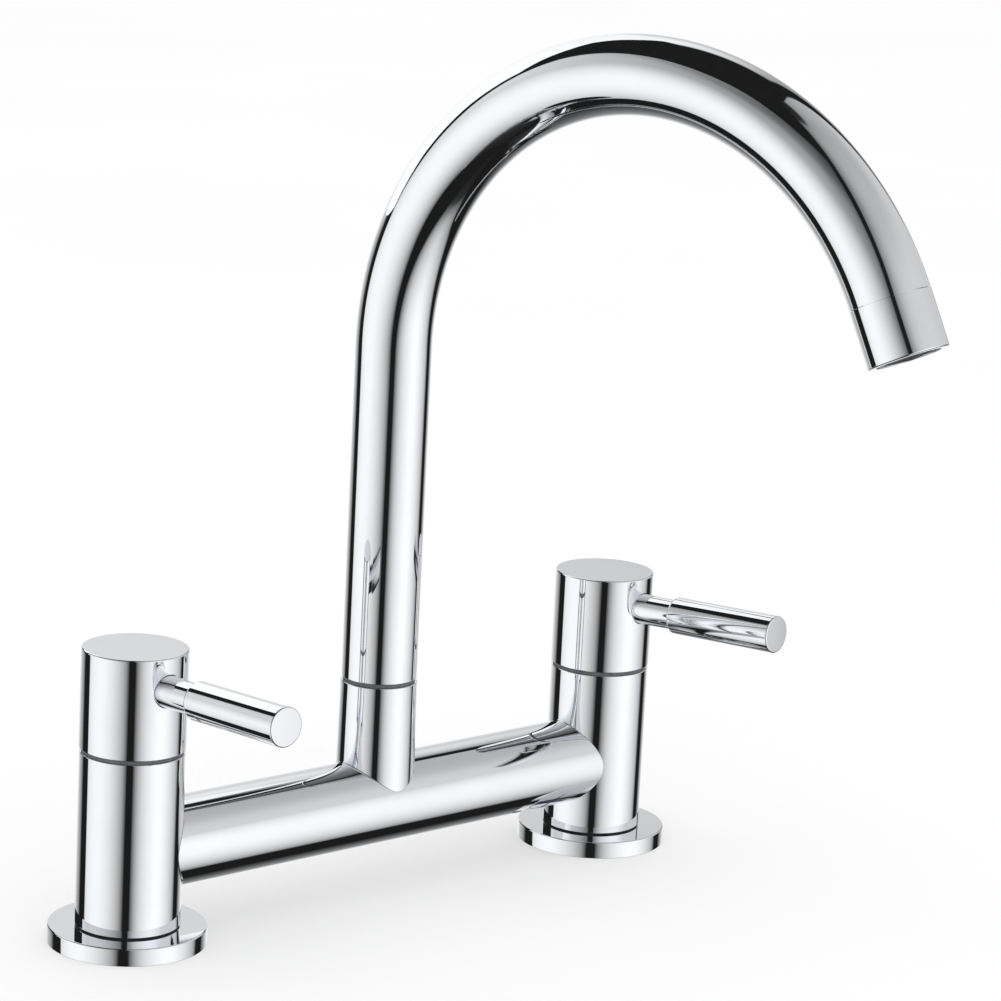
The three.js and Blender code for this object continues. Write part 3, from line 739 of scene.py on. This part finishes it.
def nozzle_place():
    """From the nozzle's own axis, outlet down, to the end of the bend."""
    outwards = BEND_RADIUS * (1 - cos(radians(BEND_ANGLE)))
    upwards = RISER_TOP + BEND_RADIUS * sin(radians(BEND_ANGLE))
    return (
        Matrix.Rotation(radians(SPOUT_TURN), 4, "Z")
        @ Matrix.Translation((0, -outwards, upwards))
        @ Matrix.Rotation(radians(BEND_ANGLE - 180), 4, "X")
    )


def nozzle_sleeve():
    """The straight sleeve, whose narrower neck reaches up into the spout tube."""
    bm = turned([
        (NOZZLE_BORE, NOZZLE_END, 0.25),
        (NOZZLE_RADIUS, NOZZLE_END, 0.5),
        (NOZZLE_RADIUS, NOZZLE_TOP, 0.06),
        (NOZZLE_NECK_RADIUS, NOZZLE_TOP),
        (NOZZLE_NECK_RADIUS, NOZZLE_NECK_TOP),
        (NOZZLE_NECK_BORE, NOZZLE_NECK_TOP),
        (NOZZLE_NECK_BORE, AERATOR_CEILING),
        (NOZZLE_BORE, AERATOR_CEILING),
    ])
    bm.transform(nozzle_place())
    piece = finished("nozzle_collar", bm, CHROME)
    even_normals(piece)
    return dress(piece, "spout", "chrome", "nozzle_sleeve")


def aerator():
    """The aerator's cup and, behind its lip, the plate with its pattern of round holes."""
    cup = turned([
        (AERATOR_MOUTH, AERATOR_BOTTOM, 0.2),
        (AERATOR_RADIUS, AERATOR_BOTTOM, 0.3),
        (AERATOR_RADIUS, AERATOR_TOP),
        (AERATOR_BORE, AERATOR_TOP),
        (AERATOR_BORE, PLATE_BOTTOM),
        (AERATOR_MOUTH, PLATE_BOTTOM),
    ])
    cup.transform(nozzle_place())
    dress(finished("aerator_cup", cup, NYLON), "spout", "nylon", "aerator_body")

    plate = turned([
        (0, PLATE_BOTTOM),
        (PLATE_RADIUS, PLATE_BOTTOM, 0.1),
        (PLATE_RADIUS, PLATE_TOP, 0.1),
        (0, PLATE_TOP),
    ])
    piece = finished("aerator_plate", plate, STEEL)
    drill(piece, plate_holes())
    piece.data.transform(scaled(nozzle_place()))
    dress(piece, "spout", "steel", "aerator_screen")


def plate_holes():
    """Round cutters in staggered rows, as far as the plate's field of holes reaches."""
    holes = bmesh.new()
    for row in range(-5, 6):
        for column in range(-5, 6):
            across = HOLE_SPACING * (column + row / 2)
            spot = Vector((across, HOLE_SPACING * row * sqrt(0.75), PLATE_MIDDLE))
            if hypot(spot.x, spot.y) < HOLE_FIELD:
                bmesh.ops.create_cone(
                    holes, cap_ends=True, segments=HOLE_SIDES, radius1=HOLE_RADIUS,
                    radius2=HOLE_RADIUS, depth=HOLE_LENGTH, matrix=Matrix.Translation(spot),
                )
    return holes


# ------------------------------------------------------------------ assembly

for side, sign in (("left", -1), ("right", 1)):
    over_inlet = Matrix.Translation((sign * INLET_CENTRES / 2, 0, 0))
    at_rest = over_inlet @ Matrix.Rotation(radians(LEVER_TURN[side]), 4, "Z")
    flange(side + "_deck_flange", side + "_flange", over_inlet)
    flange_gasket(side + "_deck_gasket", side + "_flange_gasket", over_inlet)
    pillar(side + "_valve_pillar", side + "_pillar", over_inlet)
    # A dark ring at each pillar's foot, painted shadow where the pillar meets its flange.
    foot_shadow_ring(side + "_foot_shadow_ring", over_inlet)
    seam_ring(
        side + "_cap_seam", side + "_glide_ring", over_inlet,
        CAP_SEAM_BORE, PILLAR_RADIUS - SEAM_INSET, PILLAR_TOP,
    )
    handle_cap(side + "_cap", side, at_rest)
    lever(side + "_lever_bar", side, at_rest)
    screw_start = at_rest @ Matrix.Translation((0, INSERT_BORE, GRUB_HEIGHT))
    screw(
        side + "_cap_screw", side + "_grub_screw", side + "_handle",
        screw_start @ Matrix.Rotation(-pi / 2, 4, "X"), GRUB_LENGTH,
    )

bridge_tube()
spout_socket()
seam_ring(
    "spout_seam", "spout_glide_ring", Matrix.Identity(4),
    SPIGOT_BORE, SPOUT_RADIUS - SEAM_INSET, SOCKET_TOP,
)
screw_start = Matrix.Translation((0, SOCKET_SCREW_START, SOCKET_SCREW))
screw(
    "socket_screw", "spout_screw", "valve_body",
    screw_start @ Matrix.Rotation(-pi / 2, 4, "X"), SOCKET_SCREW_LENGTH,
)
spout_pipe()
nozzle_sleeve()
aerator()

INNER_FINISHES = {
    "cartridge_housing": BRASS,
    "spindle": BRASS,
    "spout_spigot": BRASS,
    "cartridge_ring": RUBBER,
    "cartridge_seal": RUBBER,
    "stem_ring": RUBBER,
    "spout_ring": RUBBER,
    "aerator_seal": RUBBER,
    "fixed_disc": CERAMIC,
    "moving_disc": CERAMIC,
    "circlip": STEEL,
    "spline_insert": NYLON,
}
for name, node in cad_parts.items():
    for inner_piece, material in INNER_FINISHES.items():
        if inner_piece in name:
            for slot in node.material_slots:
                slot.material = material

# ------------------------------------------------------------------ camera

AZIMUTH, ELEVATION, ROLL = radians(-41.75), radians(12.79), radians(2.93)
DISTANCE = 1.1757
TARGET = Vector((-0.044151, -0.106307, 0.161352))
FOCAL_LENGTH = 138.889
SENSOR_WIDTH = 36

backwards = Vector((
    sin(AZIMUTH) * cos(ELEVATION), -cos(AZIMUTH) * cos(ELEVATION), sin(ELEVATION),
))
level_right = (-backwards).cross(Vector((0, 0, 1))).normalized()
level_up = level_right.cross(-backwards)
rightwards = cos(ROLL) * level_right + sin(ROLL) * level_up
upwards = cos(ROLL) * level_up - sin(ROLL) * level_right

lens = bpy.data.cameras.new("camera")
lens.sensor_width = SENSOR_WIDTH
lens.lens = FOCAL_LENGTH
lens.clip_start = 0.05
lens.clip_end = 100
camera = bpy.data.objects.new("camera", lens)
facing = Matrix((rightwards, upwards, backwards)).transposed().to_4x4()
camera.matrix_world = Matrix.Translation(TARGET + DISTANCE * backwards) @ facing
bpy.context.scene.collection.objects.link(camera)
bpy.context.scene.camera = camera

# ------------------------------------------------------------------ studio

# Soft panels stand round the faucet: a lower and an upper one to the right and to the left of the
# camera and behind the faucet. The brighter of the two shows where they overlap. Angles are in
# degrees. Azimuths count from the camera to the panel's side, and those of the panels behind
# count from straight behind to the left.
# "inner" and "outer" are a panel's edges and "up" is its brightness, all three by elevation.
# "across" is the brightness from the inner edge (0) to the outer one (1).

RIGHT_LOW_PANEL = {
    "inner": [(-90, 40), (-62, 33), (-54, 25), (-46, 18), (-38, 13), (-30, 9.5), (-20, 7.5),
              (0, 6), (90, 4)],
    "outer": [(-90, 92), (-60, 98), (-50, 103), (-40, 113), (-28, 119), (-15, 123), (-5, 124),
              (10, 116), (20, 106), (30, 96), (90, 90)],
    "across": [(0, 0), (0.06, 0.27), (0.15, 0.57), (0.23, 0.74), (0.32, 0.86), (0.4, 0.94),
               (0.5, 1), (0.58, 0.98), (0.66, 0.9), (0.75, 0.78), (0.84, 0.63), (0.92, 0.46),
               (0.97, 0.2), (1, 0)],
    "up": [(-90, 0), (-66, 0.02), (-62, 0.16), (-56, 0.46), (-50, 0.66), (-42, 0.8), (-33, 0.93),
           (-24, 1.02), (-14, 1.06), (3, 1.06), (10, 1.03), (16, 0.99), (22, 0.86), (28, 0.7),
           (36, 0.4), (44, 0), (90, 0)],
}
RIGHT_HIGH_PANEL = {
    "inner": [(-90, 6), (18, 4), (26, 1), (36, 1), (48, 2), (58, 3), (68, 5), (90, 8)],
    "outer": [(-90, 140), (-4, 143), (6, 152), (50, 151.5), (68, 147), (90, 130)],
    "across": [(0, 0), (0.006, 0), (0.027, 0.28), (0.06, 0.44), (0.093, 0.56), (0.16, 0.76),
               (0.227, 0.88), (0.3, 0.96), (0.43, 1), (0.56, 1), (0.69, 0.95), (0.83, 0.93),
               (0.94, 0.92), (0.98, 0.88), (0.99, 0), (1, 0)],
    "up": [(-90, 0), (-10, 0), (-4, 0.4), (2, 0.62), (8, 0.65), (21, 0.67), (33, 0.635),
           (39, 0.58), (45, 0.52), (51, 0.48), (57, 0.46), (63, 0.435), (69, 0.4), (75, 0.345),
           (79, 0.27), (82, 0.02), (90, 0)],
}
LEFT_LOW_PANEL = {
    "inner": [(-90, 30), (-62, 24), (-54, 19), (-47, 15), (-40, 11), (-33, 7.5), (-24, 6),
              (-10, 5), (30, 4), (90, 4)],
    "outer": [(-90, 80), (-60, 92), (-50, 102), (-35, 105), (-22, 104), (-14, 107), (-5, 112),
              (10, 111), (28, 111), (90, 111)],
    "across": [(0, 0), (0.03, 0.12), (0.1, 0.37), (0.2, 0.58), (0.29, 0.725), (0.38, 0.84),
               (0.48, 0.925), (0.57, 0.99), (0.66, 1), (0.76, 0.99), (0.85, 0.93), (0.94, 0.84),
               (0.98, 0.7), (0.993, 0), (1, 0)],
    "up": [(-90, 0), (-66, 0.03), (-60, 0.42), (-56, 0.56), (-51, 0.67), (-45, 0.77), (-39, 0.85),
           (-33, 0.92), (-24, 0.98), (-9, 1), (-3, 0.98), (3, 0.92), (9, 0.85), (15, 0.74),
           (21, 0.6), (27, 0.47), (33, 0.3), (40, 0), (90, 0)],
}
LEFT_HIGH_PANEL = {
    "inner": [(-90, 4), (60, 4), (90, 4)],
    "outer": [(-90, 111), (10, 111), (24, 111), (33, 110), (39, 106), (45, 96), (51, 77),
              (57, 58), (62, 20), (90, 10)],
    "across": [(0, 0), (0.02, 0), (0.03, 0.18), (0.1, 0.33), (0.2, 0.43), (0.29, 0.54),
               (0.39, 0.59), (0.5, 0.58), (0.58, 0.6), (0.67, 0.68), (0.76, 0.8), (0.86, 0.91),
               (0.95, 1), (0.98, 0.98), (0.99, 0), (1, 0)],
    "up": [(-90, 0), (-10, 0), (0, 0.6), (9, 0.73), (21, 0.71), (27, 0.655), (33, 0.6),
           (39, 0.49), (45, 0.305), (51, 0.21), (57, 0.14), (61, 0), (90, 0)],
}
BACK_LOW_PANEL = {
    "inner": [(-90, -40), (-15, -43), (0, -40), (20, -36), (90, -36)],
    "outer": [(-90, 55), (-20, 56), (-8, 55), (5, 56), (15, 60), (90, 60)],
    "across": [(0, 0), (0.05, 0.2), (0.18, 0.63), (0.29, 0.91), (0.39, 1), (0.49, 1),
               (0.59, 0.95), (0.69, 0.8), (0.8, 0.52), (0.9, 0.35), (0.97, 0.1), (1, 0)],
    "up": [(-90, 0), (-64, 0.06), (-51, 0.14), (-45, 0.2), (-39, 0.27), (-33, 0.45), (-27, 0.69),
           (-21, 0.88), (-15, 0.95), (-3, 0.98), (3, 0.94), (7, 0.72), (11, 0), (90, 0)],
}
BACK_HIGH_PANEL = {
    "inner": [(-90, -40), (3, -36), (9, -30), (15, -26.5), (21, -23.5), (27, -22.5), (44, -22),
              (90, -22)],
    "outer": [(-90, 50), (-4, 50), (5, 38), (15, 24), (25, 15), (35, 12), (90, 10)],
    "across": [(0, 0), (0.02, 0.02), (0.06, 0.3), (0.2, 0.5), (0.35, 0.68), (0.5, 0.82),
               (0.67, 0.93), (0.85, 1), (0.97, 1), (0.985, 0), (1, 0)],
    "up": [(-90, 0), (-6, 0), (0, 0.5), (4, 0.92), (8, 0.92), (12.8, 0.77), (16, 0.79),
           (19, 0.74), (22, 0.77), (26, 0.86), (30, 0.92), (39, 0.97), (44, 0.8), (48, 0.4),
           (50, 0), (90, 0)],
}
UNLIT = 0.012
DEGREES = 180 / pi


def studio():
    """White surroundings, in which reflections see the soft panels and the dark between them."""
    world = bpy.data.worlds.new("studio")
    world.use_nodes = True
    bpy.context.scene.world = world
    nodes, links = world.node_tree.nodes, world.node_tree.links
    nodes.clear()

    def feed(inputs, values):
        for socket, value in zip(inputs, values):
            if isinstance(value, bpy.types.NodeSocket):
                links.new(value, socket)
            else:
                socket.default_value = value

    def math(operation, *values):
        node = nodes.new("ShaderNodeMath")
        node.operation = operation
        feed(node.inputs, values)
        return node.outputs[0]

    def spread(value, low, high, to_low=0.0, to_high=1.0):
        node = nodes.new("ShaderNodeMapRange")
        feed(node.inputs, (value, low, high, to_low, to_high))
        return node.outputs["Result"]

    def curve(value, points):
        node = nodes.new("ShaderNodeFloatCurve")
        line = node.mapping.curves[0]
        line.points[0].location = points[0]
        line.points[1].location = points[-1]
        for point in points[1:-1]:
            line.points.new(*point)
        for point in line.points:
            point.handle_type = "AUTO_CLAMPED"
        node.mapping.update()
        links.new(value, node.inputs["Value"])
        return node.outputs[0]

    def by_height(points):
        """A brightness by elevation."""
        return curve(level, [((elevation + 90) / 180, value) for elevation, value in points])

    def edge_by_height(points):
        """An azimuth by elevation, which a curve can hold only as a share of -90 to 180."""
        share = by_height([(elevation, (azimuth + 90) / 270) for elevation, azimuth in points])
        return spread(share, 0.0, 1.0, -90.0, 180.0)

    def blend(share, first, second):
        node = nodes.new("ShaderNodeMix")
        feed([node.inputs[index] for index in (0, 2, 3)], (share, first, second))
        return node.outputs[0]

    def panel(azimuth, shape):
        across = spread(azimuth, edge_by_height(shape["inner"]), edge_by_height(shape["outer"]))
        return math("MULTIPLY", curve(across, shape["across"]), by_height(shape["up"]))

    def pair(azimuth, lower, upper):
        return math("MAXIMUM", panel(azimuth, lower), panel(azimuth, upper))

    direction = nodes.new("ShaderNodeTexCoord")
    facing = nodes.new("ShaderNodeVectorRotate")
    facing.rotation_type = "Z_AXIS"
    facing.inputs["Angle"].default_value = -AZIMUTH
    links.new(direction.outputs["Generated"], facing.inputs["Vector"])
    parts = nodes.new("ShaderNodeSeparateXYZ")
    links.new(facing.outputs[0], parts.inputs[0])
    x, y, z = parts.outputs
    to_right = math("MULTIPLY", math("ARCTAN2", x, math("MULTIPLY", y, -1.0)), DEGREES)
    to_left = math("MULTIPLY", to_right, -1.0)
    from_back = math("MULTIPLY", math("ARCTAN2", math("MULTIPLY", x, -1.0), y), DEGREES)
    height = math("MULTIPLY", math("ARCSINE", z), DEGREES)
    level = spread(height, -90.0, 90.0)

    fronts = math(
        "ADD",
        pair(to_right, RIGHT_LOW_PANEL, RIGHT_HIGH_PANEL),
        pair(to_left, LEFT_LOW_PANEL, LEFT_HIGH_PANEL),
    )
    backs = pair(from_back, BACK_LOW_PANEL, BACK_HIGH_PANEL)
    mirrored = math("ADD", math("ADD", fronts, backs), UNLIT)
    path = nodes.new("ShaderNodeLightPath")
    background = nodes.new("ShaderNodeBackground")
    links.new(blend(path.outputs["Is Glossy Ray"], 1.0, mirrored), background.inputs["Strength"])
    background.inputs["Color"].default_value = (1, 1, 1, 1)
    output = nodes.new("ShaderNodeOutputWorld")
    links.new(background.outputs[0], output.inputs["Surface"])


def staged(name, bm, material, **visible):
    """A piece of the stage, and the kinds of rays that see it or don't."""
    piece = finished(name, bm, material)
    for ray, seen in visible.items():
        setattr(piece, "visible_" + ray, seen)


TABLE_SIZE = 30000
TABLE_GLOW = 0.38


def floor():
    """The white table top, which takes the faucet's shadow and isn't mirrored in the chrome."""
    bm = bmesh.new()
    bmesh.ops.create_grid(bm, x_segments=1, y_segments=1, size=TABLE_SIZE)
    finish = Finish("white_table", Specular_IOR_Level=0.0, Roughness=1.0)
    finish.colours(finish.grain(3, detail=2)["Level"], (0.60, 0.60, 0.60), (0.61, 0.61, 0.61))
    finish.shader.inputs["Emission Color"].default_value = (1, 1, 1, 1)
    seen = finish.nodes.new("ShaderNodeLightPath").outputs["Is Camera Ray"]
    glow = finish.nodes.new("ShaderNodeMath")
    glow.operation = "MULTIPLY"
    glow.inputs[1].default_value = TABLE_GLOW
    finish.links.new(seen, glow.inputs[0])
    finish.links.new(glow.outputs[0], finish.shader.inputs["Emission Strength"])
    staged("table_top", bm, finish.material, glossy=False)


# Corners (x, z) of two cards behind the faucet: a white one, and a dark one that shows as its
# edge. Both stand on planes y = CARD_PLACE - CARD_SLANT * x, the dark one CARD_GAP further back.
# The white card's light fades to the right, between two places in metres.
WHITE_CARD = (
    (-262, 250), (-236, 290), (-195, 330), (-192, 430), (-215, 500), (-218, 574), (-105, 588),
    (0, 609), (80, 595), (114, 616), (150, 650), (213, 646), (222, 560), (240, 470), (240, 338),
    (125, 300), (40, 235),
)
DARK_CARD = (
    (-264, 270), (-285, 330), (-285, 420), (-240, 480), (-232, 588), (-108, 602), (0, 623),
    (82, 609), (108, 632), (146, 664), (180, 640), (150, 330), (40, 270),
)
CARD_PLACE = 340
CARD_SLANT = 0.628
CARD_GAP = 4
FADE_START, FADE_END = 0.06, 0.24
FADE_BRIGHT, FADE_DIM = 1.06, 0.94


def reflector():
    """The two cards, which only reflections see."""
    glowing = Finish("white_card", Specular_IOR_Level=0.0, Roughness=1.0)
    glowing.colours(glowing.grain(3, detail=2)["Level"], (0.0, 0.0, 0.0), (0.01, 0.01, 0.01))
    glowing.shader.inputs["Emission Color"].default_value = (1, 1, 1, 1)
    split = glowing.nodes.new("ShaderNodeSeparateXYZ")
    fading = glowing.nodes.new("ShaderNodeMapRange")
    sockets(
        fading, From_Min=FADE_START, From_Max=FADE_END, To_Min=FADE_BRIGHT, To_Max=FADE_DIM,
    )
    glowing.links.new(glowing.place, split.inputs[0])
    glowing.links.new(split.outputs["X"], fading.inputs["Value"])
    glowing.links.new(fading.outputs["Result"], glowing.shader.inputs["Emission Strength"])
    dark = Finish("dark_card", Specular_IOR_Level=0.0, Roughness=1.0)
    dark.colours(dark.grain(3, detail=2)["Level"], (0.005, 0.005, 0.005), (0.01, 0.01, 0.01))
    for name, corners, behind, finish in (
        ("white_reflector", WHITE_CARD, 0, glowing),
        ("dark_reflector", DARK_CARD, CARD_GAP, dark),
    ):
        bm = bmesh.new()
        bm.faces.new([
            bm.verts.new((x, CARD_PLACE - CARD_SLANT * x + behind, z)) for x, z in corners
        ])
        staged(name, bm, finish.material, camera=False, diffuse=False, shadow=False)


LAMP_PLACE = Vector((-0.9, -0.9, 2.2))
LAMP_SIZE = 1.6
LAMP_POWER = 4


def lamp():
    """One large soft lamp high up on the camera's side, turned to the faucet, for its shadow."""
    light = bpy.data.lights.new("soft_lamp", "AREA")
    light.shape = "SQUARE"
    light.size = LAMP_SIZE
    light.energy = LAMP_POWER
    shade = bpy.data.objects.new("soft_lamp", light)
    facing = LAMP_PLACE.to_track_quat("Z", "Y").to_matrix().to_4x4()
    shade.matrix_world = Matrix.Translation(LAMP_PLACE) @ facing
    shade.visible_glossy = False
    bpy.context.scene.collection.objects.link(shade)


studio()
floor()
reflector()
lamp()
bpy.context.scene.view_settings.view_transform = "Standard"
